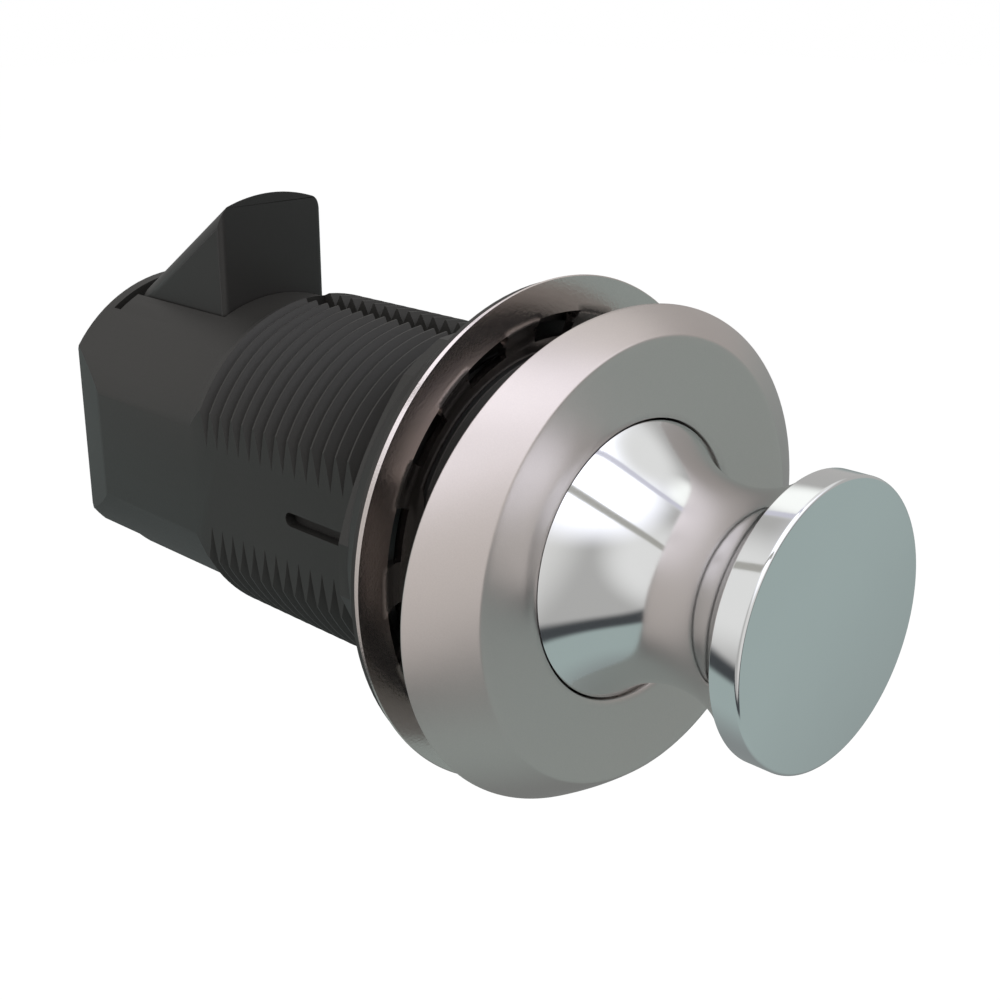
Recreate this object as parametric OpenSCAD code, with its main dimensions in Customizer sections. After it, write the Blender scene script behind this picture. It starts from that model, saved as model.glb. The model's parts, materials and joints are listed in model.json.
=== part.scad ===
// Push-to-close knob latch for a panel or cabinet door.
// The axis of the knob and barrel is Y. The origin is on that axis, inside the panel's hole, where
// the bezel's neck ends. -Y is the knob side, +Y the inside of the door, and the bolt points up +Z.

/* [Panel] */
// Thickness of the panel clamped between the bezel and the trim ring
panel_t = 8; // [5:0.5:17]

/* [Bezel] */
// Width of the bezel's oval rim, across the knob
bezel_w = 55.2; // [53:0.2:58]
// Height of the bezel's oval rim
bezel_h = 47.8; // [46:0.2:52]
// Diameter of the bezel's round face
bezel_face_d = 43.3; // [40:0.1:45]
// Thickness of the bezel from the panel to its face
bezel_t = 3.6; // [3.4:0.1:5]
// How far the flank between face and rim swells out
bezel_swell = 0.15; // [0:0.05:0.4]
// How far the face sinks from its rim to the knob hole
face_dish = 1; // [0:0.1:1.2]
// Gap between the knob and the bezel's hole, on the radius
knob_gap = 0.25; // [0.15:0.05:0.6]

/* [Knob] */
// Diameter of the knob's grip disc
disc_d = 26.6; // [22:0.2:30]
// Thickness of the grip disc at its rim
disc_t = 2.9; // [2:0.1:5]
// Width of the bevel round the disc's face, along the axis
disc_bevel = 0.7; // [0.2:0.1:1.2]
// Diameter of the knob's narrow waist
waist_d = 19.3; // [16:0.1:21]
// Diameter of the knob's skirt, which slides in the bezel
skirt_d = 27; // [25:0.1:27.4]
// Distance from the bezel's hole to the back of the disc
knob_reach = 18.7; // [16:0.1:24]
// Length of the skirt behind the bezel's hole at rest
skirt_len = 12; // [11:0.5:13]
// Wall of the skirt
skirt_wall = 1.9; // [1.4:0.1:2.4]
// Diameter of the boss that takes the stem
boss_d = 11; // [9:0.5:14]

/* [Barrel] */
// Outer diameter of the thread
thread_d = 36.8; // [36.4:0.1:37.2]
// Pitch of the thread
thread_pitch = 1.9; // [1.5:0.1:2.5]
// Depth of the thread grooves
thread_depth = 1.4; // [0.8:0.1:1.5]
// Width of a thread groove at its mouth
groove_w = 1.7; // [1:0.1:1.8]
// Number of thread grooves
grooves = 20; // [16:1:20]
// Width of the barrel across its two flats
flats_w = 32.8; // [32.2:0.1:34]
// Bore at the front of the barrel, which the knob's skirt slides into
bore_d = 28.4; // [28:0.1:29]
// Bore behind the guide plate, which the slider runs in
slider_bore_d = 23; // [22.6:0.1:23.2]
// Width of the keyways along the top and bottom of the thread
keyway_w = 3.4; // [2:0.2:5]
// Depth of the keyways below the thread's outer diameter
keyway_depth = 2; // [1.2:0.1:2.2]
// Width of the slit along each flat
slit_w = 1.5; // [1:0.1:2.5]
// Length of the slit along each flat
slit_len = 20; // [10:1:22]
// Length of the barrel that sits inside the bezel
spigot_len = 5; // [4.6:0.1:5.6]

/* [Housing] */
// Diameter of the rear housing
housing_d = 34.9; // [34.4:0.1:35.4]
// Distance from the panel seat to the front of the bolt
bolt_y = 47.4; // [47:0.1:50]
// Wall between the bolt's slot and the end cap's recess
slot_end_wall = 0.4; // [0.3:0.1:1]
// Length of the slant where the flats close in towards the rear end
end_slant_len = 8; // [4:0.5:10]
// Depth of that slant at the rear end
end_slant = 2.4; // [1:0.1:2.6]
// Thickness of the end cap
cap_t = 1.6; // [1.2:0.1:2.4]
// Thickness of the guide plate inside the barrel
plate_web_t = 4; // [3:0.5:5]
// Distance from the axis down to the flat under the housing
base_drop = 12; // [12:0.1:12.6]
// Thickness of the cover on that flat
cover_t = 1.4; // [1:0.1:1.6]
// Distance from the panel seat to the front of the cover
cover_y = 41.6; // [41.4:0.1:42]
// Length of the cover
cover_len = 18.8; // [18.6:0.1:20]

/* [Bolt] */
// Width of the bolt
bolt_w = 14.2; // [13:0.2:14.2]
// Length of the bolt along the axis where it leaves the housing
bolt_len = 17.2; // [16:0.1:18]
// Height of the crown across the bolt's sloping top
bolt_crown = 1.2; // [0.4:0.1:1.6]
// Radius between the bolt's top and its sides
bolt_top_edge = 2.2; // [0.8:0.1:2.4]
// Radius of the bolt's upright edges
bolt_edge = 0.8; // [0.3:0.1:1.2]
// Fall of the bolt's rear slope for each millimetre along the axis
bolt_slope = 0.67; // [0.55:0.01:0.75]
// How far the bolt travels from fully out to flush
bolt_travel = 10.8; // [8:0.1:11]
// How far the knob is pulled to draw the bolt in
pull_travel = 9; // [7:0.1:9.4]
// Width of the guide foot at the bottom of the bolt
foot_w = 16; // [15.8:0.1:16.2]
// Length of the guide foot along the axis
foot_len = 11; // [9:0.5:12]
// Clearance of the bolt in its slot
bolt_gap = 0.25; // [0.15:0.05:0.4]

/* [Slider] */
// Thickness of the slider's cam plate
plate_t = 4; // [3:0.2:5]
// Diameter of the pin that the cam plate drives
bolt_pin_d = 3; // [2.5:0.1:3.4]
// Diameter of the stem
stem_d = 8; // [7:0.5:9]
// Diameter of the stem's threaded front end
stem_thread_d = 6; // [5:0.5:6.5]
// Diameter of the pin that joins the stem to the slider
cross_pin_d = 2.5; // [2:0.1:3]

/* [Springs] */
// Wire of the knob's return spring
return_wire = 1; // [0.8:0.1:1.2]
// Mean diameter of the knob's return spring
return_spring_d = 14; // [12:0.5:16]
// Turns of the knob's return spring
return_turns = 6; // [5:1:7]
// Wire of the bolt's springs
bolt_wire = 0.5; // [0.4:0.1:0.6]
// Mean diameter of the bolt's springs
bolt_spring_d = 3.4; // [3:0.1:3.6]
// Turns of each bolt spring
bolt_turns = 10; // [8:1:12]

/* [Lock nut] */
// Width across the nut's flats
nut_af = 39.6; // [38.6:0.2:42]
// Width across the nut's cut corners
nut_corner_d = 42.7; // [41:0.1:46]
// Height of the nut with its flange
nut_h = 8.4; // [7:0.2:12]
// Diameter of the nut's flange
flange_d = 50; // [48:0.5:52]
// Thickness of the nut's flange at its rim
flange_t = 0.5; // [0.4:0.1:2]
// Length of the nut's cone between the flange and the hexagon
nut_cone_len = 4.9; // [3:0.1:6]
// Bevel round the back of the hexagon
nut_bevel = 0.8; // [0.3:0.1:1.5]
// Gap between the nut and the thread, on the radius
nut_gap = 0.2; // [0.1:0.05:0.4]

/* [Trim ring] */
// How far the trim ring's rim stands out past the nut's flange
ring_over = 0.5; // [0.2:0.1:1]
// Thickness of the trim ring
ring_t = 1; // [0.8:0.1:1.6]
// Share of the ring outside its hub that is flat rim, the rest being spokes
rim_share = 0.576; // [0.5:0.01:0.65]
// Number of spokes
spokes = 14; // [8:1:18]
// Angle that each window between the spokes spans
window_angle = 14.4; // [10:0.2:16]
// Depth of the dished spokes behind the ring
dish_depth = 1; // [0.5:0.1:1.6]

/* [Hidden] */

// Running clearance on the radius of a shaft in its bore
run_gap = 0.05;
// Clearance on the radius between pieces that are only dropped together
loose_gap = 0.15;
// Overlap that lets a cutting shape pass clean through a face
cut = 0.5;
smooth = 96;

// Stations along the axis, from the knob's face to the end cap
panel_y = -spigot_len;
face_y = panel_y - bezel_t;
hole_y = face_y + face_dish;
spigot_y = -spigot_len;
skirt_y = hole_y + skirt_len;
disc_back_y = hole_y - knob_reach;
disc_face_y = disc_back_y - disc_t;
web_y = 12.2;
web_back_y = web_y + plate_web_t;
bulkhead_t = 1.8;
slot_y = bolt_y - bolt_gap;
bulkhead_y = slot_y - bulkhead_t;
bolt_back_y = bolt_y + bolt_len;
slot_back_y = bolt_back_y + 1.6;
cap_y = slot_back_y + slot_end_wall;
end_y = cap_y + cap_t;

thread_r = thread_d / 2;
housing_r = housing_d / 2;
bore_r = bore_d / 2;
slider_bore_r = slider_bore_d / 2;
flat_x = flats_w / 2;
land_y = 1.65;
thread_y = land_y + thread_pitch / 2 - groove_w / 2;
thread_end_y = thread_y + grooves * thread_pitch;

// The waist is one arc from the skirt to the disc
waist_r = waist_d / 2;
skirt_r = skirt_d / 2;
disc_r = disc_d / 2;
waist_mid_y = hole_y - knob_reach / 2;
waist_half = knob_reach / 2;
waist_rise = (skirt_r + disc_r) / 2 - waist_r - 0.1;
waist_arc_r = (waist_half * waist_half + waist_rise * waist_rise) / (2 * waist_rise);
arc_steps = 24;

// The bolt's foot, its springs and the cover that they stand on
foot_bottom = -0.9;
foot_top = 8;
foot_y = bolt_y + 1.4;
foot_gap = 0.3;
spring_x = 5.3;
spring_top = 6.5;
seat_z = -base_drop;
heel_rise = 1.2;
pocket_r = bolt_spring_d / 2 + bolt_wire / 2 + 0.25;
cover_back_y = cover_y + cover_len;
cavity_w = foot_w + 2 * foot_gap;
cover_screw_x = 9.6;
cover_screw_stations = [cover_y + 1.8, cover_back_y - 2];
cover_screw_r = 0.65;
cover_head_r = 1.2;
cover_screw_len = 3.8;

// The cam plate drives the bolt's pin down as it moves forward
cam_ratio = bolt_travel / pull_travel;
bolt_pin_r = bolt_pin_d / 2;
pin_y = bolt_y + 3.9;
pin_z = 3;
spring_y = pin_y + bolt_pin_r + 0.5 + pocket_r;
cam_top = 6;
cam_lead = 1.3;
cam_crest = 2.6;
cam_slant = sqrt(1 + cam_ratio * cam_ratio);
cam_touch_y = pin_y + (bolt_pin_r + run_gap) * cam_ratio / cam_slant;
cam_touch_z = pin_z + (bolt_pin_r + run_gap) / cam_slant;
neck_top = pin_z - bolt_travel - bolt_pin_r - 0.2;
neck_bottom = neck_top - 1.6;
cam_front_y = cam_touch_y - cam_lead;
cam_foot_y = cam_touch_y + (cam_touch_z - neck_top) / cam_ratio;
cam_crest_y = cam_front_y + cam_crest;
cam_back_y = cap_y - 0.6;
channel_w = plate_t + 0.6;
channel_top = cam_top + bolt_travel + 0.2;
block_y = bulkhead_y - 1.4 - 8;
block_len = 8;
block_r = slider_bore_r - 0.2;

// The end cap's screws and hooks
cap_screw_x = 9.2;
cap_screw_z = -8.2;
cap_screw_r = 1.1;
cap_head_r = 2.1;
cap_screw_len = 6;
hook_x = 9;
hook_z = 11.4;
hook_half = 1.2;
hook_t = 1.5;
hook_rise = 2.4;
post_h = 2.6;
screw_reach = 8;
screw_well = 2;

// The stem, its jam nut and the clip that stops it against the web
stem_r = stem_d / 2;
stem_thread_r = stem_thread_d / 2;
stem_front_y = hole_y - 6;
stem_step_y = skirt_y + 1.4;
stem_back_y = block_y + 5.5;
jam_af = 10;
jam_t = 3;
boss_back_y = skirt_y - 2;
boss_r = boss_d / 2;
clip_t = 0.7;
washer_t = 1.9;
washer_r = 8.5;
clip_y = web_y - washer_t - clip_t;
clip_r = 6.6;
clip_groove_r = stem_r - 0.8;
bush_wall = 2;
bush_r = stem_r + bush_wall;
bush_flange_r = bush_r + bush_wall;
bush_flange_t = 1.2;
bush_back_y = web_back_y + bush_flange_t;
plate_clip_t = 1;
plate_clip_r = bore_r + 0.6;
plate_clip_hole_r = bore_r - 1.4;
cross_pin_y = block_y + 3;

// The split ring that holds the bezel on the barrel
snap_wire = 0.9;
snap_y = spigot_y + 2.4;
nose_r = bore_r + 1.2;
neck_r = thread_r - 0.05;
neck_end_y = -loose_gap;
snap_r = nose_r;
gasket_w = 2.4;
gasket_t = 0.8;

// The ring and nut stand behind the panel
ring_y = panel_y + panel_t;
nut_y = ring_y + ring_t;
flange_y = nut_y + flange_t;
nut_bore_r = thread_r + nut_gap;
hub_w = 1;
hub_r = nut_bore_r + hub_w;
ring_d = flange_d + 2 * ring_over;
bend_r = ring_d / 2 - rim_share * (ring_d / 2 - hub_r);
hollow_r = hub_r + 1.1;
hollow_depth = dish_depth + ring_t + 1.6;
dish_gap = 0.2;

// A solid of revolution about Y from points given as [radius, station]
module spin(points) {
    rotate([-90, 0, 0])
        rotate_extrude($fn = smooth)
            polygon(points);
}

// A round bar along Y
module rod(r, from_y, to_y) {
    translate([0, from_y, 0])
        rotate([-90, 0, 0])
            cylinder(r = r, h = to_y - from_y, $fn = smooth);
}

// A box given by its two opposite corners
module block(low, high) {
    translate(low)
        cube(high - low);
}

// A box centred on x, from one corner to the other
module slab(width, low, high) {
    block([-width / 2, low[0], low[1]], [width / 2, high[0], high[1]]);
}

// A countersunk screw along +Z with a cross recess, its head's top at the origin
module screw(head_r, shank_r, length) {
    difference() {
        union() {
            translate([0, 0, -length])
                cylinder(r = shank_r, h = length, $fn = 32);
            translate([0, 0, -head_r + shank_r])
                cylinder(r1 = shank_r, r2 = head_r, h = head_r - shank_r, $fn = 32);
        }
        for (turn = [0, 90])
            rotate([0, 0, turn])
                translate([-head_r * 0.6, -0.2, -0.7])
                    cube([head_r * 1.2, 0.4, 1]);
    }
}

// A round-wire compression spring along +Z from z = 0
function coil_point(r, wire, turns, length, rings, ring, side, sides) =
    let (turn = 360 * turns * ring / rings,
         rise = wire / 2 + (length - wire) * ring / rings,
         reach = r + wire / 2 * cos(360 * side / sides))
    [reach * cos(turn), reach * sin(turn), rise + wire / 2 * sin(360 * side / sides)];

module coil(r, wire, turns, length, steps, sides) {
    rings = turns * steps;
    points = [for (ring = [0:rings], side = [0:sides - 1])
        coil_point(r, wire, turns, length, rings, ring, side, sides)];
    walls = [for (ring = [0:rings - 1], side = [0:sides - 1])
        let (a = ring * sides + side, b = ring * sides + (side + 1) % sides)
        [a, a + sides, b + sides]];
    more = [for (ring = [0:rings - 1], side = [0:sides - 1])
        let (a = ring * sides + side, b = ring * sides + (side + 1) % sides)
        [a, b + sides, b]];
    first = [for (side = [1:sides - 2]) [0, side, side + 1]];
    last = [for (side = [1:sides - 2])
        [rings * sides, rings * sides + side + 1, rings * sides + side]];
    polyhedron(points, concat(walls, more, first, last));
    echo(str("gap between turns ", (length - wire) / turns - wire));
}

// The flank's rows run from the round face to the oval rim: half width, half height and station
function bezel_rows() =
    [for (n = [0:8])
        let (u = n / 8,
             swell = bezel_swell * 4 * u * (1 - u),
             face_r = bezel_face_d / 2)
        [face_r + (bezel_w / 2 - face_r) * u + swell,
         face_r + (bezel_h / 2 - face_r) * u + swell,
         face_y + (panel_y - 0.2 - face_y) * u]];

module bezel_outline() {
    rows = concat(bezel_rows(), [[bezel_w / 2 - 0.1, bezel_h / 2 - 0.1, panel_y]]);
    last = len(rows) - 1;
    points = [for (row = rows, n = [0:smooth - 1])
        let (turn = 360 * n / smooth)
        [row[0] * cos(turn), row[2], row[1] * sin(turn)]];
    walls = [for (n = [0:last - 1], m = [0:smooth - 1])
        let (a = n * smooth + m, b = n * smooth + (m + 1) % smooth)
        [a, b, b + smooth]];
    more = [for (n = [0:last - 1], m = [0:smooth - 1])
        let (a = n * smooth + m, b = n * smooth + (m + 1) % smooth)
        [a, b + smooth, a + smooth]];
    face = [[for (m = [0:smooth - 1]) smooth - 1 - m]];
    seat = [[for (m = [0:smooth - 1]) last * smooth + m]];
    polyhedron(points, concat(walls, more, face, seat));
}

// The neck that reaches through the panel over the barrel's nose, with the barrel's flats
module bezel_neck() {
    intersection() {
        rod(neck_r, panel_y - gasket_t - cut, neck_end_y);
        slab(2 * flat_x, [panel_y - gasket_t - 2 * cut, -thread_r], [cut, thread_r]);
    }
}

module bezel() {
    color("silver")
        difference() {
            union() {
                difference() {
                    bezel_outline();
                    rod(thread_r + gasket_w + 0.1, panel_y - gasket_t, panel_y + cut);
                }
                bezel_neck();
            }
            dish();
            rod(skirt_r + knob_gap, face_y - cut, cut);
            rod(nose_r + run_gap, spigot_y - run_gap, cut);
            snap_groove();
        }
}

// The shallow cone that sinks the bezel's face towards the knob
module dish() {
    spin([[0, face_y - cut], [bezel_face_d / 2 - 0.4, face_y - cut], [bezel_face_d / 2 - 0.4, face_y],
          [skirt_r, hole_y], [0, hole_y]]);
}

// The groove that the split ring sits in, shared by the bezel and the barrel
module snap_groove() {
    rotate([-90, 0, 0])
        translate([0, 0, snap_y])
            rotate_extrude($fn = smooth)
                translate([snap_r, 0])
                    circle(r = snap_wire / 2 + 0.08, $fn = 24);
}

module bezel_clip() {
    color("dimgray")
        rotate([-90, 0, 0])
            translate([0, 0, snap_y])
                rotate([0, 0, 100])
                    rotate_extrude(angle = 340, $fn = smooth)
                        translate([snap_r, 0])
                            circle(r = snap_wire / 2, $fn = 24);
}

module gasket() {
    color("black")
        difference() {
            rod(thread_r + gasket_w, panel_y - gasket_t, panel_y);
            rod(thread_r + run_gap, panel_y - gasket_t - cut, panel_y + cut);
        }
}

module knob() {
    waist = [for (s = [0:arc_steps])
        let (y = hole_y - knob_reach * s / arc_steps, off = y - waist_mid_y)
        [waist_r + waist_arc_r - sqrt(waist_arc_r * waist_arc_r - off * off), y]];
    color("gainsboro")
        difference() {
            spin(concat(
                [[0, skirt_y], [skirt_r, skirt_y], [skirt_r, hole_y]],
                waist,
                [[disc_r, disc_back_y], [disc_r, disc_face_y + disc_bevel],
                 [disc_r - disc_bevel / 2, disc_face_y], [0, disc_face_y]]));
            difference() {
                rod(skirt_r - skirt_wall, hole_y + 3.6, skirt_y + cut);
                rod(boss_r, hole_y, boss_back_y);
            }
            rod(stem_thread_r + run_gap, stem_front_y - 0.5, skirt_y + cut);
        }
}

module jam_nut() {
    color("gray")
        translate([0, boss_back_y, 0])
            rotate([-90, 0, 0])
                difference() {
                    cylinder(r = jam_af / 2 / cos(30), h = jam_t, $fn = 6);
                    translate([0, 0, -cut])
                        cylinder(r = stem_thread_r + run_gap, h = jam_t + 2 * cut, $fn = 48);
                }
}

module stem() {
    color("gray")
        difference() {
            spin([[0, stem_front_y], [stem_thread_r, stem_front_y], [stem_thread_r, stem_step_y],
                  [stem_r, stem_step_y], [stem_r, clip_y], [clip_groove_r, clip_y],
                  [clip_groove_r, clip_y + clip_t], [stem_r, clip_y + clip_t],
                  [stem_r, stem_back_y], [0, stem_back_y]]);
            cross_hole(cross_pin_d / 2 + run_gap);
        }
}

module cross_hole(r) {
    translate([0, cross_pin_y, -block_r - cut])
        cylinder(r = r, h = 2 * (block_r + cut), $fn = 32);
}

// An open ring that snaps into the stem's groove
module retaining_clip() {
    color("gray")
        difference() {
            rod(clip_r, clip_y + 0.02, clip_y + clip_t - 0.02);
            rod(clip_groove_r + run_gap, clip_y - cut, clip_y + clip_t + cut);
            slab(clip_groove_r * 1.7, [clip_y - cut, -clip_r - cut], [clip_y + clip_t + cut, 0]);
        }
}

module stop_washer() {
    color("black")
        difference() {
            rod(washer_r, clip_y + clip_t, web_y);
            rod(stem_r + run_gap, clip_y, web_y + cut);
        }
}

// A disc that closes the barrel and carries the stem's bush
module guide_plate() {
    color("dimgray")
        difference() {
            rod(bore_r - 0.03, web_y, web_back_y);
            rod(bush_r + 0.02, web_y - cut, web_back_y + cut);
        }
}

// An internal snap ring that holds the guide plate against its shoulder
module plate_clip() {
    color("gray")
        difference() {
            rod(plate_clip_r - 0.03, web_y - plate_clip_t, web_y);
            rod(plate_clip_hole_r, web_y - plate_clip_t - cut, web_y + cut);
            slab(plate_clip_hole_r, [web_y - plate_clip_t - cut, 0], [web_y + cut, plate_clip_r + cut]);
        }
}

module guide_bush() {
    color("goldenrod")
        difference() {
            union() {
                rod(bush_r, web_y, web_back_y);
                rod(bush_flange_r, web_back_y, bush_back_y);
            }
            rod(stem_r + run_gap, web_y - cut, bush_back_y + cut);
        }
}

module return_spring() {
    color("silver")
        translate([0, bush_back_y, 0])
            rotate([-90, 0, 0])
                coil(return_spring_d / 2, return_wire, return_turns, block_y - bush_back_y, 8, 6);
}

// The cam plate's top falls to the rear beside the bolt's own slope
function cam_top_z(y) = cam_top - bolt_slope * max(0, y - cam_crest_y);

module slider() {
    color("darkgray")
        difference() {
            union() {
                rod(block_r, block_y, block_y + block_len);
                translate([-plate_t / 2, 0, 0])
                    rotate([90, 0, 90])
                        linear_extrude(plate_t)
                            polygon([[block_y + 1, neck_bottom], [cam_back_y, neck_bottom],
                                     [cam_back_y, cam_top_z(cam_back_y)],
                                     [cam_crest_y, cam_top], [cam_front_y, cam_top],
                                     [cam_front_y, cam_touch_z + cam_lead * cam_ratio],
                                     [cam_foot_y, neck_top], [block_y + 1, neck_top]]);
            }
            rod(stem_r + run_gap, block_y - cut, stem_back_y + 0.2);
            cross_hole(cross_pin_d / 2 + run_gap);
        }
}

module cross_pin() {
    color("silver")
        translate([0, cross_pin_y, -block_r + 0.6])
            cylinder(r = cross_pin_d / 2, h = 2 * block_r - 1.2, $fn = 32);
}

// V grooves cut in the barrel's outline, then the plain housing behind them
function thread_outline() = [for (n = [0:grooves - 1], corner = [0:2])
    let (mid = thread_y + groove_w / 2 + n * thread_pitch)
    [thread_r - (corner == 1 ? thread_depth : 0), mid + (corner - 1) * groove_w / 2]];

module barrel_outline() {
    spin(concat([[0, spigot_y], [nose_r, spigot_y], [nose_r, 0], [thread_r, 0]], thread_outline(),
                [[thread_r, thread_end_y], [housing_r, thread_end_y + 2.2],
                 [housing_r, end_y - 0.4], [housing_r - 0.4, end_y], [0, end_y]]));
}

// Flats on both sides, closing in towards the rear end
module side_flats() {
    for (side = [0, 1])
        mirror([side, 0, 0])
            linear_extrude(2 * thread_r + 2, center = true)
                polygon([[flat_x, -cut], [flat_x, end_y - end_slant_len],
                         [flat_x - end_slant, end_y + 0.01], [flat_x - end_slant, end_y + 1],
                         [thread_r + 1, end_y + 1], [thread_r + 1, -cut]]);
}

// Keyways along the top and bottom of the thread
module keyways() {
    for (side = [0, 1])
        mirror([0, 0, side])
            slab(keyway_w, [land_y, thread_r - keyway_depth], [thread_end_y + 0.8, thread_r + 1]);
}

// A round-ended slit along the middle of each flat
module side_slits() {
    slit_back_y = 25.3;
    slit_r = slit_w / 2;
    for (side = [0, 1])
        mirror([side, 0, 0])
            translate([flat_x - 1.2, slit_back_y, 0])
                rotate([0, 90, 0])
                    linear_extrude(3)
                        union() {
                            translate([0, -slit_r])
                                circle(r = slit_r, $fn = 24);
                            translate([0, slit_r - slit_len])
                                circle(r = slit_r, $fn = 24);
                            translate([-slit_r, slit_r - slit_len])
                                square([slit_w, slit_len - slit_w]);
                        }
}

// Room for the bolt, its foot, the springs and the cam plate
module bolt_cavity() {
    slot_w = bolt_w + 2 * bolt_gap;
    slab(slot_w, [slot_y, foot_bottom], [slot_back_y, thread_r + 1]);
    slab(slot_w, [slot_y, seat_z - cut], [foot_y + foot_len, foot_top]);
    slab(slot_w, [foot_y, foot_bottom + heel_rise - bolt_travel - 0.2],
         [bolt_back_y + bolt_gap, foot_top]);
    slab(cavity_w, [foot_y - foot_gap, seat_z - cut], [foot_y + foot_len + foot_gap, foot_top]);
    slab(channel_w, [slot_y, neck_bottom - 0.2], [cap_y + cut, channel_top]);
    slab(channel_w, [bulkhead_y - cut, neck_bottom - 0.2], [slot_y + cut, cam_top + 0.3]);
    slab(19.8, [slot_back_y - 1.4, 11], [slot_back_y, thread_r + 1]);
}

// The flat under the housing that the cover closes
module base_flat() {
    slab(2 * thread_r, [cover_y - loose_gap, -thread_r - 1], [end_y + cut, -base_drop]);
}

module cap_outline(gap) {
    intersection() {
        rod(15.6 - gap, cap_y, end_y + (gap > 0 ? 0 : cut));
        slab(2 * (flat_x - end_slant - 1.1 - gap), [cap_y, -base_drop + 0.8 + gap],
             [end_y + cut, thread_r]);
    }
}

// The places of the screws at the cover's four corners, heads down
module at_cover_screws() {
    for (side = [-1, 1], y = cover_screw_stations)
        translate([side * cover_screw_x, y, -base_drop - cover_t])
            mirror([0, 0, 1])
                children();
}

module body() {
    color("#2b2a28")
        difference() {
            barrel_outline();
            side_flats();
            keyways();
            side_slits();
            snap_groove();
            rod(bore_r, spigot_y - cut, web_back_y);
            rod(plate_clip_r, web_y - plate_clip_t - 0.03, web_y + cut);
            rod(slider_bore_r, web_back_y - cut, bulkhead_y);
            bolt_cavity();
            base_flat();
            cap_outline(0);
            for (side = [-1, 1]) {
                translate([side * cap_screw_x, cap_y + cut, cap_screw_z])
                    rotate([90, 0, 0])
                        cylinder(r = cap_screw_r, h = cap_screw_len - 1 + cut, $fn = 32);
                block([side * hook_x - hook_half - loose_gap, slot_back_y - cut, hook_z - loose_gap],
                      [side * hook_x + hook_half + loose_gap, cap_y + cut,
                       hook_z + hook_t + 2 * loose_gap]);
            }
            at_cover_screws()
                translate([0, 0, -cover_screw_len - 0.2])
                    cylinder(r = cover_screw_r, h = cover_screw_len, $fn = 32);
        }
}

// The end cap with two hooks that catch in the cross slot behind the bolt
module end_cap() {
    color("#2b2a28")
        difference() {
            union() {
                cap_outline(loose_gap);
                for (side = [-1, 1]) {
                    block([side * hook_x - hook_half, slot_back_y - 1, hook_z],
                          [side * hook_x + hook_half, cap_y + 0.4, hook_z + hook_t]);
                    block([side * hook_x - hook_half, slot_back_y - 1, hook_z],
                          [side * hook_x + hook_half, slot_back_y - 0.1, hook_z + hook_rise]);
                }
            }
            for (side = [-1, 1])
                translate([side * cap_screw_x, end_y, cap_screw_z])
                    rotate([-90, 0, 0])
                        screw_hole(cap_head_r, cap_screw_r);
        }
}

// A countersunk hole along +Z for a screw whose head's top is at the origin
module screw_hole(head_r, shank_r) {
    translate([0, 0, -screw_reach])
        cylinder(r = shank_r + run_gap, h = screw_reach + cut, $fn = 32);
    translate([0, 0, -head_r + shank_r - run_gap])
        cylinder(r1 = shank_r, r2 = head_r + run_gap, h = head_r - shank_r + run_gap, $fn = 32);
    cylinder(r = head_r + run_gap, h = screw_well, $fn = 32);
}

module cap_screws() {
    color("silver")
        for (side = [-1, 1])
            translate([side * cap_screw_x, end_y, cap_screw_z])
                rotate([-90, 0, 0])
                    screw(cap_head_r, cap_screw_r - run_gap, cap_screw_len);
}

// The cover on the housing's flat, which the bolt's springs stand on
module bottom_cover() {
    color("#2b2a28")
        difference() {
            union() {
                intersection() {
                    rod(housing_r - 0.05, cover_y, cover_back_y);
                    slab(2 * housing_r, [cover_y - 1, -base_drop - cover_t],
                         [cover_back_y + 1, -base_drop]);
                }
                for (side = [-1, 1])
                    translate([side * spring_x, spring_y, seat_z - 0.1])
                        cylinder(r = bolt_spring_d / 2 - bolt_wire / 2 - 0.3, h = post_h, $fn = 24);
            }
            at_cover_screws()
                screw_hole(cover_head_r, cover_screw_r);
        }
}

module cover_screws() {
    color("silver")
        at_cover_screws()
            screw(cover_head_r, cover_screw_r - run_gap, cover_screw_len);
}

// The bolt leaves the housing at its rear end and rises from there towards the front
slope_end_z = sqrt(housing_r * housing_r - bolt_w * bolt_w / 4);
slope_angle = atan(bolt_slope);

// A rectangle with rounded corners, from one corner to the other
module soft_box(low, high, r) {
    translate([low[0] + r, low[1]])
        square([high[0] - low[0] - 2 * r, high[1] - low[1]]);
    translate([low[0], low[1] + r])
        square([high[0] - low[0], high[1] - low[1] - 2 * r]);
    for (x = [low[0] + r, high[0] - r], y = [low[1] + r, high[1] - r])
        translate([x, y])
            circle(r = r, $fn = 48);
}

// The blade's crowned top, swept down the slope from front to rear
module blade_top() {
    half = bolt_w / 2;
    arc_r = (half * half + bolt_crown * bolt_crown) / (2 * bolt_crown);
    shoulder = half - bolt_top_edge;
    edge_top = bolt_crown - shoulder * shoulder / (2 * arc_r);
    translate([0, bolt_back_y, slope_end_z])
        rotate([-slope_angle, 0, 0])
            translate([0, 12, 0])
                rotate([90, 0, 0])
                    linear_extrude(60)
                        intersection() {
                            translate([0, bolt_crown - arc_r])
                                circle(r = arc_r, $fn = smooth);
                            union() {
                                soft_box([-half, -44], [half, edge_top], bolt_top_edge);
                                translate([-shoulder, -40])
                                    square([2 * shoulder, 42]);
                            }
                        }
}

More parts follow.
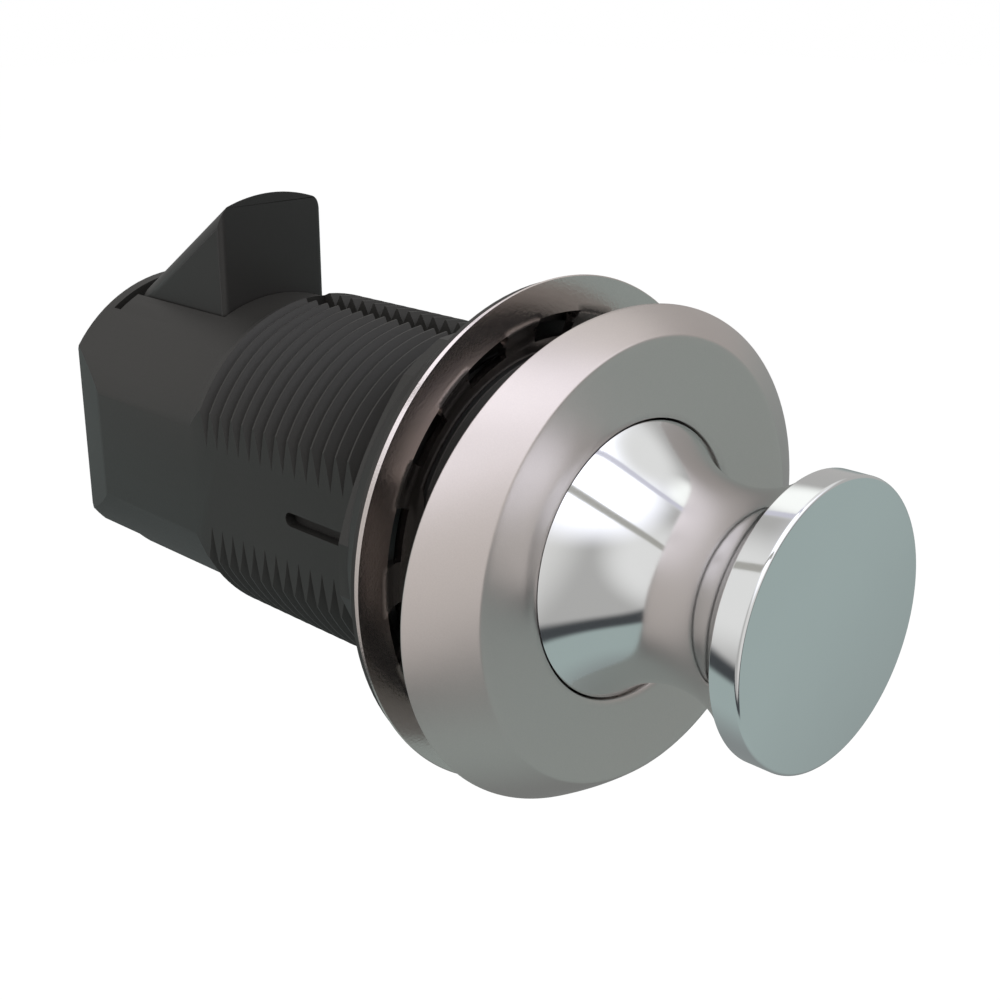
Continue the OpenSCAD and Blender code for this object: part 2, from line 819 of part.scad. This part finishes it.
// The bolt is one moulding: a blade, a foot that stops it and a channel for the cam plate
module bolt() {
    color("#242321")
        difference() {
            union() {
                intersection() {
                    translate([0, 0, foot_bottom])
                        linear_extrude(40)
                            soft_box([-bolt_w / 2, bolt_y], [bolt_w / 2, bolt_back_y], bolt_edge);
                    blade_top();
                }
                slab(foot_w, [foot_y, foot_bottom], [foot_y + foot_len, foot_top]);
            }
            slab(bolt_w + 1, [foot_y + foot_len, foot_bottom - cut],
                 [bolt_back_y + cut, foot_bottom + heel_rise]);
            translate([-channel_w / 2, 0, 0])
                rotate([90, 0, 90])
                    linear_extrude(channel_w)
                        polygon([[bolt_y - cut, foot_bottom - cut], [bolt_back_y + cut, foot_bottom - cut],
                                 [bolt_back_y + cut, channel_z(bolt_back_y + cut)],
                                 [cam_crest_y + 0.3, channel_top], [bolt_y - cut, channel_top]]);
            for (side = [-1, 1])
                translate([side * spring_x, spring_y, foot_bottom - cut])
                    cylinder(r = pocket_r, h = spring_top - foot_bottom + cut, $fn = 32);
            bolt_pin_hole(bolt_pin_r + 0.01);
        }
}

function channel_z(y) = channel_top - bolt_slope * (y - cam_crest_y - 0.3);

module bolt_pin_hole(r) {
    translate([-foot_w / 2 - cut, pin_y, pin_z])
        rotate([0, 90, 0])
            cylinder(r = r, h = foot_w + 2 * cut, $fn = 48);
}

module bolt_pin() {
    color("silver")
        translate([-bolt_w / 2 + 0.3, pin_y, pin_z])
            rotate([0, 90, 0])
                cylinder(r = bolt_pin_r, h = bolt_w - 0.6, $fn = 48);
}

module bolt_springs() {
    color("silver")
        for (side = [-1, 1])
            translate([side * spring_x, spring_y, seat_z])
                coil(bolt_spring_d / 2, bolt_wire, bolt_turns, spring_top - seat_z, 8, 6);
}

// A flanged hexagon nut with cut corners, hollowed for the trim ring's dish
module lock_nut() {
    cone_y = nut_y + flange_t + nut_cone_len;
    back_y = nut_y + nut_h;
    corner_r = nut_corner_d / 2;
    color("#2b2a28")
        difference() {
            union() {
                spin([[0, nut_y], [flange_d / 2, nut_y], [flange_d / 2, flange_y],
                      [flange_d / 2 - 0.6, flange_y], [corner_r, cone_y], [0, cone_y]]);
                intersection() {
                    translate([0, nut_y, 0])
                        rotate([-90, 0, 0])
                            intersection() {
                                cylinder(r = nut_af / 2 / cos(30), h = nut_h, $fn = 6);
                                rotate([0, 0, 30])
                                    cylinder(r = corner_r / cos(30), h = nut_h, $fn = 6);
                            }
                    spin([[0, nut_y], [24, nut_y], [24, back_y - nut_bevel - (24 - nut_af / 2) * 0.6],
                          [nut_af / 2, back_y - nut_bevel], [nut_af / 2 - nut_bevel * 1.6, back_y],
                          [0, back_y]]);
                }
            }
            rod(nut_bore_r, nut_y - cut, back_y + cut);
            spin([[0, nut_y - cut], [bend_r + dish_gap, nut_y - cut],
                  [bend_r + dish_gap, nut_y + dish_depth], [hollow_r, nut_y + dish_depth + 0.8],
                  [hollow_r, nut_y + hollow_depth], [0, nut_y + hollow_depth]]);
        }
}

// A flat rim, dished spokes and a hub that is keyed to the barrel's flats
module trim_ring() {
    color("silver")
        difference() {
            spin([[0, ring_y + dish_depth], [hub_r, ring_y + dish_depth], [bend_r, ring_y],
                  [ring_d / 2 - 0.2, ring_y], [ring_d / 2, ring_y + 0.2], [ring_d / 2, ring_y + ring_t],
                  [bend_r - 0.3, ring_y + ring_t], [hub_r - 0.3, ring_y + dish_depth + ring_t],
                  [0, ring_y + dish_depth + ring_t]]);
            intersection() {
                rod(nut_bore_r - 0.05, ring_y - cut, ring_y + dish_depth + ring_t + cut);
                slab(2 * (flat_x + loose_gap), [ring_y - cut, -thread_r - 1],
                     [ring_y + dish_depth + ring_t + cut, thread_r + 1]);
            }
            for (n = [0:spokes - 1])
                rotate([0, 90 + 360 / spokes * n, 0])
                    rotate([-90, 0, 0])
                        translate([0, 0, ring_y - cut])
                            linear_extrude(dish_depth + ring_t + 2 * cut)
                                window();
        }
}

// One window, from the hub out to the bend
module window() {
    half = window_angle / 2;
    intersection() {
        difference() {
            circle(r = bend_r - 0.1, $fn = smooth);
            circle(r = hub_r + 0.15, $fn = smooth);
        }
        polygon([[0, 0], [ring_d, -ring_d * tan(half)], [ring_d, ring_d * tan(half)]]);
    }
}

bezel();
bezel_clip();
gasket();
knob();
jam_nut();
stem();
retaining_clip();
stop_washer();
guide_plate();
plate_clip();
guide_bush();
return_spring();
slider();
cross_pin();
body();
end_cap();
cap_screws();
bottom_cover();
cover_screws();
bolt();
bolt_pin();
bolt_springs();
lock_nut();
trim_ring();
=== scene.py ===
import bpy, bmesh, json, math
from mathutils import Matrix, Vector


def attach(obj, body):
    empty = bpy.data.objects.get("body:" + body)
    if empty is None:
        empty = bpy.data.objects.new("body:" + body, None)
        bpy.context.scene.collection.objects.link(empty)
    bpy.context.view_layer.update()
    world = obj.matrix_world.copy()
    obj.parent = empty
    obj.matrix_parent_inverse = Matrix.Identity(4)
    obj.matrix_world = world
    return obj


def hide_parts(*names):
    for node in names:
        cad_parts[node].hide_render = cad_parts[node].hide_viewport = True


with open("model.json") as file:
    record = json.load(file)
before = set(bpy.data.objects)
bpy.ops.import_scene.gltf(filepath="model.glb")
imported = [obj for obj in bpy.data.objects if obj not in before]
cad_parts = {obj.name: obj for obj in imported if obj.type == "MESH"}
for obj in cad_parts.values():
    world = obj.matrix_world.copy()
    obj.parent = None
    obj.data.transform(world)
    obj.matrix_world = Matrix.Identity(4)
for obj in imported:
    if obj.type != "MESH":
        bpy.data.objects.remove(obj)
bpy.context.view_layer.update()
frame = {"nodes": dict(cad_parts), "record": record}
nodes = frame["nodes"]
mm = 0.001
weld = 1e-7
# places of the outputs that are used of nodes with several
outputs = {"object": 3, "pointiness": 7, "mixedColour": 2, "dotProduct": 1}
print("frame loaded:", len(nodes), "nodes")


def plug(tree, socket, value):
    if isinstance(value, Wire):
        tree.links.new(value.socket, socket)
    else:
        socket.default_value = value


class Wire:
    # a node's output that can be added and multiplied
    def __init__(self, tree, socket):
        self.tree, self.socket = tree, socket

    def sum(self, operation, other):
        node = self.tree.nodes.new("ShaderNodeMath")
        node.operation = operation
        plug(self.tree, node.inputs[0], self)
        plug(self.tree, node.inputs[1], other)
        return Wire(self.tree, node.outputs[0])

    def __add__(self, other):
        return self.sum("ADD", other)

    def __mul__(self, other):
        return self.sum("MULTIPLY", other)


class Finish:
    # one node material, with its principled shader at hand
    def __init__(self, name):
        self.material = bpy.data.materials.new(name)
        self.material.use_nodes = True
        self.tree = self.material.node_tree
        self.shader = self.tree.nodes["Principled BSDF"]

    def add(self, kind, settings=None, out=0, **inputs):
        node = self.tree.nodes.new("ShaderNode" + kind)
        for key, value in (settings or {}).items():
            setattr(node, key, value)
        for key, value in inputs.items():
            # i0, i1 and so on are inputs by number, the rest by name
            numbered = key[0] == "i" and key[1:].isdigit()
            plug(self.tree, node.inputs[int(key[1:]) if numbered else key.replace("_", " ")], value)
        return Wire(self.tree, node.outputs[out])

    def set(self, **inputs):
        for key, value in inputs.items():
            plug(self.tree, self.shader.inputs[key.replace("_", " ")], value)

    def show(self, shader):
        self.tree.links.new(shader.socket, self.tree.nodes["Material Output"].inputs["Surface"])

    def where(self):
        # object coordinates, in metres
        return self.add("TexCoord", out=outputs["object"])

    def noise(self, scale, detail=2.0, stretch=None):
        place = self.where()
        if stretch:
            place = self.add("Mapping", Vector=place, Scale=stretch)
        return self.add("TexNoise", Vector=place, Scale=scale, Detail=detail)

    def blend(self, amount, first, second):
        return self.add("Mix", {"data_type": "RGBA"}, outputs["mixedColour"], i0=amount, i6=first, i7=second)

    def bump(self, height, strength, distance):
        return self.add("Bump", Height=height, Strength=strength, Distance=distance)


def rgb(shade, share=1):
    # a colour socket's value: the shade times share
    return (*[c * share for c in shade], 1)


# polished chrome: a hair of haze and faint wipe marks, nothing more
def polishedChrome(name, tint, rough, haze):
    f = Finish(name)
    wipe = f.noise(900, 3, (1, 0.2, 1))
    cloud = f.noise(120, 2)
    f.set(Metallic=1.0, Roughness=cloud * haze + rough,
          Base_Color=f.blend(cloud, rgb(tint), rgb(tint, 1.04)), Normal=f.bump(wipe, 0.004, 0.0002))
    return f.material


# satin chrome: blasted then plated, so it has a fine even grain
def satinChrome(name, rough, scale, depth):
    tint = (0.635, 0.583, 0.56)
    f = Finish(name)
    grain = f.noise(scale, 2)
    cloud = f.noise(160, 3)
    f.set(Metallic=1.0, Roughness=cloud * 0.06 + (grain * 0.08 + (rough - 0.06)),
          Base_Color=f.blend(grain, rgb(tint, 0.95), rgb(tint, 1.05)), Normal=f.bump(grain, depth, 0.00005))
    return f.material


# black moulded plastic: spark-eroded grain, a little uneven sheen, and colour made paler along sharp convex
# edges
def blackMoulding(name, shade, rough, depth, scale):
    f = Finish(name)
    grain = f.noise(scale, 3)
    cloud = f.noise(110, 3)
    edge = f.add("NewGeometry", out=outputs["pointiness"])
    # the colour turns paler where the surface is sharply convex, along the edges
    edgePaling = f.add("MapRange", i0=edge, i1=0.52, i2=0.62, i3=0.0, i4=0.35)
    base = f.blend(cloud, rgb(shade, 0.85), rgb(shade, 1.15))
    f.set(Base_Color=f.blend(edgePaling * grain, base, rgb(shade, 2.2)),
          Roughness=cloud * 0.08 + (grain * 0.06 + (rough - 0.07)),
          Specular_IOR_Level=0.5, Normal=f.bump(grain, depth, 0.00005))
    return f.material


# plain metals inside the barrel: turned, drawn or cast, told apart by tint and marks
def plainMetal(name, tint, rough, scale, stretch, depth):
    f = Finish(name)
    marks = f.noise(scale, 3, stretch)
    cloud = f.noise(200, 2)
    f.set(Metallic=1.0, Roughness=marks * 0.15 + (cloud * 0.08 + (rough - 0.1)),
          Base_Color=f.blend(marks, rgb(tint, 0.88), rgb(tint, 1.1)), Normal=f.bump(marks, depth, 0.00004))
    return f.material


# the bush's pale plastic and the rubber pieces
def softPlastic(name, tint, rough, scale):
    f = Finish(name)
    grain = f.noise(scale, 3)
    cloud = f.noise(150, 2)
    f.set(Base_Color=f.blend(cloud, rgb(tint, 0.92), rgb(tint, 1.06)),
          Roughness=grain * 0.1 + (rough - 0.05), Normal=f.bump(grain, 0.08, 0.00004))
    return f.material


finishes = {
    "chrome": polishedChrome("polishedChrome", (0.80, 0.815, 0.82), 0.07, 0.03),
    "satin_chrome": satinChrome("satinChrome", 0.34, 7000, 0.1),
    "ring_chrome": satinChrome("ringChrome", 0.2, 4200, 0.22),
    "black_plastic": blackMoulding("blackPlastic", (0.0175, 0.0168, 0.0152), 0.5, 0.16, 5200),
    "black_bolt": blackMoulding("blackBolt", (0.0155, 0.0148, 0.0138), 0.44, 0.08, 6200),
    "steel": plainMetal("turnedSteel", (0.62, 0.62, 0.63), 0.3, 2500, (0.05, 1, 0.05), 0.12),
    "spring_steel": plainMetal("springWire", (0.5, 0.5, 0.52), 0.32, 3000, (1, 1, 1), 0.1),
    "die_cast": plainMetal("dieCastZinc", (0.52, 0.53, 0.55), 0.45, 1600, (1, 1, 1), 0.25),
    "zinc_screw": plainMetal("zincPlate", (0.7, 0.69, 0.64), 0.3, 2600, (1, 1, 1), 0.1),
    "black_steel": plainMetal("blackenedSteel", (0.1, 0.1, 0.105), 0.4, 2400, (1, 1, 1), 0.12),
    "acetal": softPlastic("naturalAcetal", (0.82, 0.8, 0.74), 0.42, 2600),
    "rubber": softPlastic("blackRubber", (0.025, 0.025, 0.026), 0.6, 3600),
}
slots = {row["node"]: row["material_slot"] for row in frame["record"]["subparts"]}


def dress(piece, slotName):
    # gives a piece the one finish of its slot
    piece.data.materials.clear()
    piece.data.materials.append(finishes[slotName])


for name, piece in nodes.items():
    dress(piece, slots[name])
print("materials made:", len(finishes))


def built(name, bm, material=None):
    # an object made from a finished bmesh
    mesh = bpy.data.meshes.new(name)
    bm.to_mesh(mesh)
    bm.free()
    if material:
        mesh.materials.append(material)
    piece = bpy.data.objects.new(name, mesh)
    bpy.context.scene.collection.objects.link(piece)
    return piece


def place(bm, name, body, stands, slotName, sharpAngle=32):
    # turns a finished bmesh into a piece of the latch
    bmesh.ops.remove_doubles(bm, verts=bm.verts, dist=weld)
    bmesh.ops.recalc_face_normals(bm, faces=bm.faces)
    for face in bm.faces:
        face.smooth = True
    for edge in bm.edges:
        edge.smooth = not (edge.is_manifold and edge.calc_face_angle() > math.radians(sharpAngle))
    piece = built(name, bm)
    dress(piece, slotName)
    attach(piece, body)
    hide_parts(stands)
    return piece


def turned(points, steps, closed=False):
    # spins an outline of (radius, station) pairs, in mm, round the latch's axis
    bm = bmesh.new()
    line = [bm.verts.new((r * mm, y * mm, 0)) for r, y in points]
    edges = [bm.edges.new(pair) for pair in zip(line, line[1:])]
    if closed:
        edges.append(bm.edges.new((line[-1], line[0])))
    bmesh.ops.spin(bm, geom=line + edges, cent=(0, 0, 0), axis=(0, 1, 0),
                   angle=2 * math.pi, steps=steps, use_merge=True, use_duplicate=False)
    bmesh.ops.remove_doubles(bm, verts=bm.verts, dist=weld)
    return bm


def rounded(points, radii, parts):
    # the outline with an arc of the given radius at each inner point
    out = [points[0]]
    for before, here, after, r in zip(points, points[1:], points[2:], radii):
        p, a, b = Vector(here), Vector(before), Vector(after)
        u, v = (a - p).normalized(), (b - p).normalized()
        angle = u.angle(v)
        reach = min(r / math.tan(angle / 2), (a - p).length * 0.48, (b - p).length * 0.48)
        r = reach * math.tan(angle / 2)
        middle = p + (u + v).normalized() * (r / math.sin(angle / 2))
        start, end = p + u * reach - middle, p + v * reach - middle
        turn = start.angle_signed(end)
        for n in range(parts + 1):
            step = start.copy()
            step.rotate(Matrix.Rotation(-turn * n / parts, 2))
            out.append(tuple(middle + step))
    out.append(points[-1])
    return out


# radii and stations are in mm, stations along the latch's axis
knobSpec = {"disc": 13.3, "faceY": -29.2, "backY": -26.3, "waist": 9.65, "skirt": 13.5, "holeY": -7.6,
            "skirtY": -7.4, "skirtEnd": 4.4, "chamfer": 0.3, "wall": 1.9, "hollowY": -4.0, "boss": 5.5,
            "bossEnd": 2.4, "bore": 3.05, "boreY": -14.1, "rimEdge": 0.35, "backEdge": 0.12, "trim": 0.1}
onAxis = 0.001


def makeKnob():
    k = knobSpec
    middle, half = (k["holeY"] + k["backY"]) / 2, (k["holeY"] - k["backY"]) / 2
    rise = (k["skirt"] + k["disc"]) / 2 - k["waist"] - k["trim"]
    arc = (half * half + rise * rise) / (2 * rise)
    waist, steps = [], 64
    for n in range(steps + 1):
        y = k["backY"] + (k["holeY"] - k["backY"]) * n / steps
        waist.append((k["waist"] + arc - math.sqrt(arc * arc - (y - middle) ** 2), y))
    disc = rounded([(onAxis, k["faceY"]), (k["disc"], k["faceY"]), (k["disc"], k["backY"]), waist[1]],
                   [k["rimEdge"], k["backEdge"]], 8)
    inside = k["skirt"] - k["wall"]
    hollow = [(k["skirt"], k["skirtY"]), (k["skirt"], k["skirtEnd"] - k["chamfer"]),
              (k["skirt"] - k["chamfer"], k["skirtEnd"]), (inside, k["skirtEnd"]), (inside, k["hollowY"]),
              (k["boss"], k["hollowY"]), (k["boss"], k["bossEnd"]), (k["bore"], k["bossEnd"]),
              (k["bore"], k["boreY"]), (onAxis, k["boreY"])]
    place(turned(disc[:-1] + waist[1:] + hollow, 288), "turnedKnob", "pull", "knob", "chrome")


bezelSpec = {"faceR": 21.65, "faceY": -8.6, "halfWide": 27.6, "halfHigh": 23.9, "panelY": -5.0, "swell": 0.15,
             "hole": 13.75, "holeY": -7.6, "noseR": 15.45, "noseY": -5.05, "neckR": 18.35, "neckEnd": -0.15,
             "flat": 16.4, "groove": 20.9, "grooveY": -5.8, "edge": 0.1, "lip": 0.2}


def flankRow(u):
    # half width, half height and station of the oval flank, from the round face to the rim
    b = bezelSpec
    swell = b["swell"] * 4 * u * (1 - u)
    return (b["faceR"] + (b["halfWide"] - b["faceR"]) * u + swell,
            b["faceR"] + (b["halfHigh"] - b["faceR"]) * u + swell,
            b["faceY"] + (b["panelY"] - b["lip"] - b["faceY"]) * u)


def makeBezel():
    b = bezelSpec
    # the first rows stand close together, so that the edge of the face stays crisp
    rows = [flankRow(u) for u in (0.012, 0.03, 0.06)]
    rows += [flankRow(0.12 + 0.88 * n / 14) for n in range(15)]
    for inward, forward in ((0.04, 0.08), (0.14, 0)):
        rows.append((b["halfWide"] - inward, b["halfHigh"] - inward, b["panelY"] - forward))
    face = [(b["hole"] + b["edge"] + (b["faceR"] - 0.5 - b["hole"]) * n / 12,
             b["holeY"] + (b["faceY"] - b["holeY"]) * n / 12) for n in range(13)]
    face += [(b["faceR"] - 0.2, b["faceY"]), (b["faceR"] - 0.08, b["faceY"] + 0.01)]
    back = [(b["groove"], b["panelY"]), (b["groove"], b["grooveY"]), (b["neckR"], b["grooveY"]),
            (b["neckR"], b["neckEnd"]), (b["noseR"], b["neckEnd"]), (b["noseR"], b["noseY"]),
            (b["hole"], b["noseY"]), (b["hole"], b["holeY"] + b["edge"])]
    bm = turned(face + [(wide, y) for wide, high, y in rows] + back, 288, closed=True)
    squash = {wide: high / wide for wide, high, y in rows}
    for v in bm.verts:
        radius = v.co.xz.length / mm
        if radius > b["faceR"]:
            v.co.z *= squash[min(squash, key=lambda wide: abs(wide - radius))]
        elif abs(radius - b["neckR"]) < 0.01:
            v.co.x = max(-b["flat"] * mm, min(b["flat"] * mm, v.co.x))
    place(bm, "plainBezel", "housing", "bezel", "satin_chrome", 50)


ringSpec = {"rim": 25.5, "bend": 22.1, "hub": 19.6, "bore": 18.55, "flat": 16.55, "frontY": 3.0, "dish": 1.0,
            "thick": 1.0, "edge": 0.1, "spokes": 14, "window": 14, "spoke": 11}


def makeRing():
    # window and spoke are in steps of the turning, so their edges fall on its vertices
    r = ringSpec
    share = r["window"] + r["spoke"]
    # rows of the bevelled edge, the flat rim and the dish
    line = [(r["rim"], r["frontY"] + r["edge"]), (r["rim"] - r["edge"], r["frontY"])]
    line += [(r["rim"] - 0.5 - (r["rim"] - r["bend"] - 1.2) * n / 4, r["frontY"]) for n in range(5)]
    for n in range(7):
        u = n / 6
        line.append((r["bend"] - u * (r["bend"] - r["hub"]),
                     r["frontY"] + r["dish"] * math.sin(u * math.pi / 2) ** 1.15))
    line.append((r["bore"], r["frontY"] + r["dish"]))
    bm = turned(line, r["spokes"] * share)
    for v in bm.verts:
        if abs(v.co.x) > r["flat"] * mm and v.co.xz.length < (r["bore"] + 0.01) * mm:
            v.co.x = math.copysign(r["flat"] * mm, v.co.x)
    pitch = 360 / r["spokes"]
    gone = []
    for face in bm.faces:
        c = face.calc_center_median()
        span = c.xz.length / mm
        off = (math.degrees(math.atan2(c.z, c.x)) - 90 + pitch / 2) % pitch - pitch / 2
        if r["hub"] < span < r["bend"] and abs(off) < pitch * r["window"] / share / 2:
            gone.append(face)
    bmesh.ops.delete(bm, geom=gone, context="FACES")
    # all faces have to look forward, so that the thickness goes backward
    bmesh.ops.recalc_face_normals(bm, faces=bm.faces)
    backward = [face for face in bm.faces if face.normal.y > 0.9]
    if len(backward) > len(bm.faces) / 3:
        bmesh.ops.reverse_faces(bm, faces=bm.faces)
    bmesh.ops.solidify(bm, geom=bm.faces, thickness=r["thick"] * mm)
    place(bm, "dishedRing", "clamp_ring", "trim_ring", "ring_chrome")


def refined(node, body, slotName, width, angle=24):
    # a copy of a CAD node, with its edges broken by width in mm
    bm = bmesh.new()
    bm.from_mesh(nodes[node].data)
    bmesh.ops.remove_doubles(bm, verts=bm.verts, dist=1e-6)
    bmesh.ops.dissolve_limit(bm, angle_limit=math.radians(0.6), verts=bm.verts, edges=bm.edges, delimit=set())
    piece = place(bm, node + "Moulding", body, node, slotName, angle)
    if width:
        bevel = piece.modifiers.new("edges", "BEVEL")
        bevel.width = width * mm
        bevel.segments = 2
        bevel.limit_method = "ANGLE"
        bevel.angle_limit = math.radians(angle)
        bevel.harden_normals = True


makeKnob()
makeBezel()
makeRing()
print("turned pieces made")
refined("body", "housing", "black_plastic", 0)
refined("bolt", "latch_bolt", "black_bolt", 0.3)
refined("lock_nut", "clamp_nut", "black_plastic", 0.15)
refined("bottom_cover", "housing", "black_plastic", 0.12)
refined("end_cap", "housing", "black_plastic", 0.12)
print("moulded pieces made")


# the camera that the photo was taken with: angles in degrees, eye in mm, lens in pixels of the picture
cameraSpec = {"turn": -44.7387, "rise": 19.4149, "eye": (-103.758, -93.774, 53.415), "lens": 1532.63,
              "picture": 1000, "sensor": 36}


def camera():
    c = cameraSpec
    turn, rise = math.radians(c["turn"]), math.radians(c["rise"])
    back = Vector((math.sin(turn) * math.cos(rise), -math.cos(turn) * math.cos(rise), math.sin(rise)))
    right = Vector((math.cos(turn), math.sin(turn), 0))
    up = back.cross(right)
    data = bpy.data.cameras.new("camera")
    data.sensor_width = c["sensor"]
    data.lens = c["lens"] / c["picture"] * c["sensor"]
    data.clip_start, data.clip_end = 0.001, 20
    eye = bpy.data.objects.new("camera", data)
    rows = [(right[n], up[n], back[n], c["eye"][n] * mm) for n in range(3)]
    eye.matrix_world = Matrix(rows + [(0, 0, 0, 1)])
    bpy.context.scene.collection.objects.link(eye)
    bpy.context.scene.camera = eye


def softbox(name, size, place, aim, power, tint):
    # an area lamp that lights the latch without being seen in the chrome
    data = bpy.data.lights.new(name, "AREA")
    data.shape, data.size, data.size_y = "RECTANGLE", size[0], size[1]
    data.energy, data.color = power, tint
    lamp = bpy.data.objects.new(name, data)
    lamp.location = place
    lamp.rotation_euler = (Vector(aim) - Vector(place)).to_track_quat("-Z", "Y").to_euler()
    lamp.visible_glossy = False
    bpy.context.scene.collection.objects.link(lamp)


def mirrored(name, bm, paint):
    # something that only reflections see, in the colour that paint makes
    f = Finish(name)
    f.show(f.add("Emission", Color=paint(f), Strength=1.0))
    piece = built(name, bm, f.material)
    piece.visible_camera = piece.visible_diffuse = piece.visible_shadow = False


def rib(name, along, across, length, shade):
    # a level bar overhead that draws a line in the chrome; its long side runs in the direction along
    height = 0.5
    run = Vector((along[0], along[1], 0)).normalized()
    side = Vector((run.y, -run.x, 0))
    bm = bmesh.new()
    corners = [side * across[a] + run * length[b] for a, b in ((0, 0), (1, 0), (1, 1), (0, 1))]
    bm.faces.new([bm.verts.new((c.x, c.y, height)) for c in corners])
    mirrored(name, bm, lambda f: rgb(shade))


# what the chrome sees all round: an even shade with soft bright patches, each given by its direction,
# two angles in degrees and a colour, over a darker ground that starts with a soft dark line
skySpec = {
    "base": (0.48, 0.47, 0.46),
    "patches": [
        ((-0.75, 0.5, 0.43), 16, 48, (0.85, 0.84, 0.83)),
        ((0.35, 0.45, 0.82), 6, 20, (1.15, 1.16, 1.13)),
        ((-0.32, -0.94, 0.1), 15, 55, (0.78, 0.765, 0.75)),
        ((-0.1, -0.46, 0.88), 20, 58, (1.6, 1.6, 1.72)),
        ((0.5, -0.1, 0.86), 6, 30, (0.85, 0.84, 0.83))],
    "groundAim": (0.584, 0.4, -0.706), "line": (0.06, 0.065, 0.07),
    "groundNear": (0.37, 0.44, 0.43), "groundFar": (0.25, 0.27, 0.27),
    # where each change starts and ends, as the cosine to groundAim or, for the horizon, to straight down
    "horizon": (-0.12, 0.1), "lineStart": (-0.13, -0.01), "lineEnd": (0.08, 0.17), "fade": (0.45, 0.95)}


def paintSky(f):
    toward = f.add("VectorMath", {"operation": "NORMALIZE"}, i0=f.where())

    def along(aim):
        return f.add("VectorMath", {"operation": "DOT_PRODUCT"}, outputs["dotProduct"],
                     i0=toward, i1=Vector(aim).normalized())

    def ramp(value, start, end):
        return f.add("MapRange", {"interpolation_type": "SMOOTHSTEP"}, i0=value, i1=start, i2=end)
    sky = skySpec
    colour = rgb(sky["base"])
    for aim, inner, outer, shade in sky["patches"]:
        near = ramp(along(aim), math.cos(math.radians(outer)), math.cos(math.radians(inner)))
        colour = f.blend(near, colour, rgb(shade))
    depth, below = along(sky["groundAim"]), ramp(along((0, 0, -1)), *sky["horizon"])
    ground = f.blend(ramp(depth, *sky["fade"]), rgb(sky["groundNear"]), rgb(sky["groundFar"]))
    line = f.blend(ramp(depth, *sky["lineEnd"]), rgb(sky["line"]), ground)
    return f.blend(below * ramp(depth, *sky["lineStart"]), colour, line)


def makeWorld():
    # white to the camera and in reflections, dimmer as a light
    world = bpy.data.worlds.new("studio")
    bpy.context.scene.world = world
    world.use_nodes = True
    tree = world.node_tree
    path = tree.nodes.new("ShaderNodeLightPath")
    seen = Wire(tree, path.outputs["Is Camera Ray"]) + Wire(tree, path.outputs["Is Glossy Ray"])
    seen = seen + Wire(tree, path.outputs["Is Transmission Ray"])
    dim = 0.35
    level = seen.sum("MINIMUM", 1.0) * (1 - dim) + dim
    back = tree.nodes["Background"]
    back.inputs["Color"].default_value = (1, 1, 1, 1)
    tree.links.new(level.socket, back.inputs["Strength"])


# half width and height in metres; to the camera, glowShare of the floor glows and the rest is lit
floorSpec = {"half": 3, "z": -0.16, "shade": 0.9, "glow": 1.08, "glowShare": 0.9}


def makeFloor():
    # white to the camera, with a faint shadow, and unseen by the chrome
    bm = bmesh.new()
    bmesh.ops.create_grid(bm, x_segments=1, y_segments=1, size=floorSpec["half"])
    bmesh.ops.translate(bm, vec=(0, 0, floorSpec["z"]), verts=bm.verts)
    f = Finish("paleFloor")
    path = f.tree.nodes.new("ShaderNodeLightPath")
    lit = f.add("BsdfDiffuse", Color=rgb((1, 1, 1), floorSpec["shade"]))
    glow = f.add("Emission", Color=rgb((1, 1, 1)), Strength=floorSpec["glow"])
    seen = Wire(f.tree, path.outputs["Is Camera Ray"]) * floorSpec["glowShare"]
    f.show(f.add("MixShader", Fac=seen, i1=lit, i2=glow))
    floor = built("floor", bm, f.material)
    floor.visible_glossy = False


def studio():
    makeWorld()
    makeFloor()
    rib("middleRib", (-0.08, 1.0), (0.05, 0.092), (-0.7, 0.6), (0.66, 0.65, 0.74))
    rib("leftRib", (-0.23, 0.97), (-0.38, -0.3), (-0.9, 0.6), (0.42, 0.41, 0.38))
    bm = bmesh.new()
    bmesh.ops.create_icosphere(bm, subdivisions=4, radius=1.8)
    mirrored("sky", bm, paintSky)
    softbox("keyLamp", (0.7, 0.7), (-0.3, -0.2, 0.6), (0, 0, 0), 2.6, (1, 0.985, 0.96))
    softbox("sideLamp", (0.2, 0.5), (-0.6, 0.1, 0.12), (0, 0.02, 0), 0.8, (1, 1, 1))
    softbox("rightLamp", (0.3, 0.5), (0.5, -0.4, 0.35), (0, 0, 0), 0.7, (0.97, 0.98, 1))


camera()
studio()
bpy.context.scene.view_settings.view_transform = "Standard"
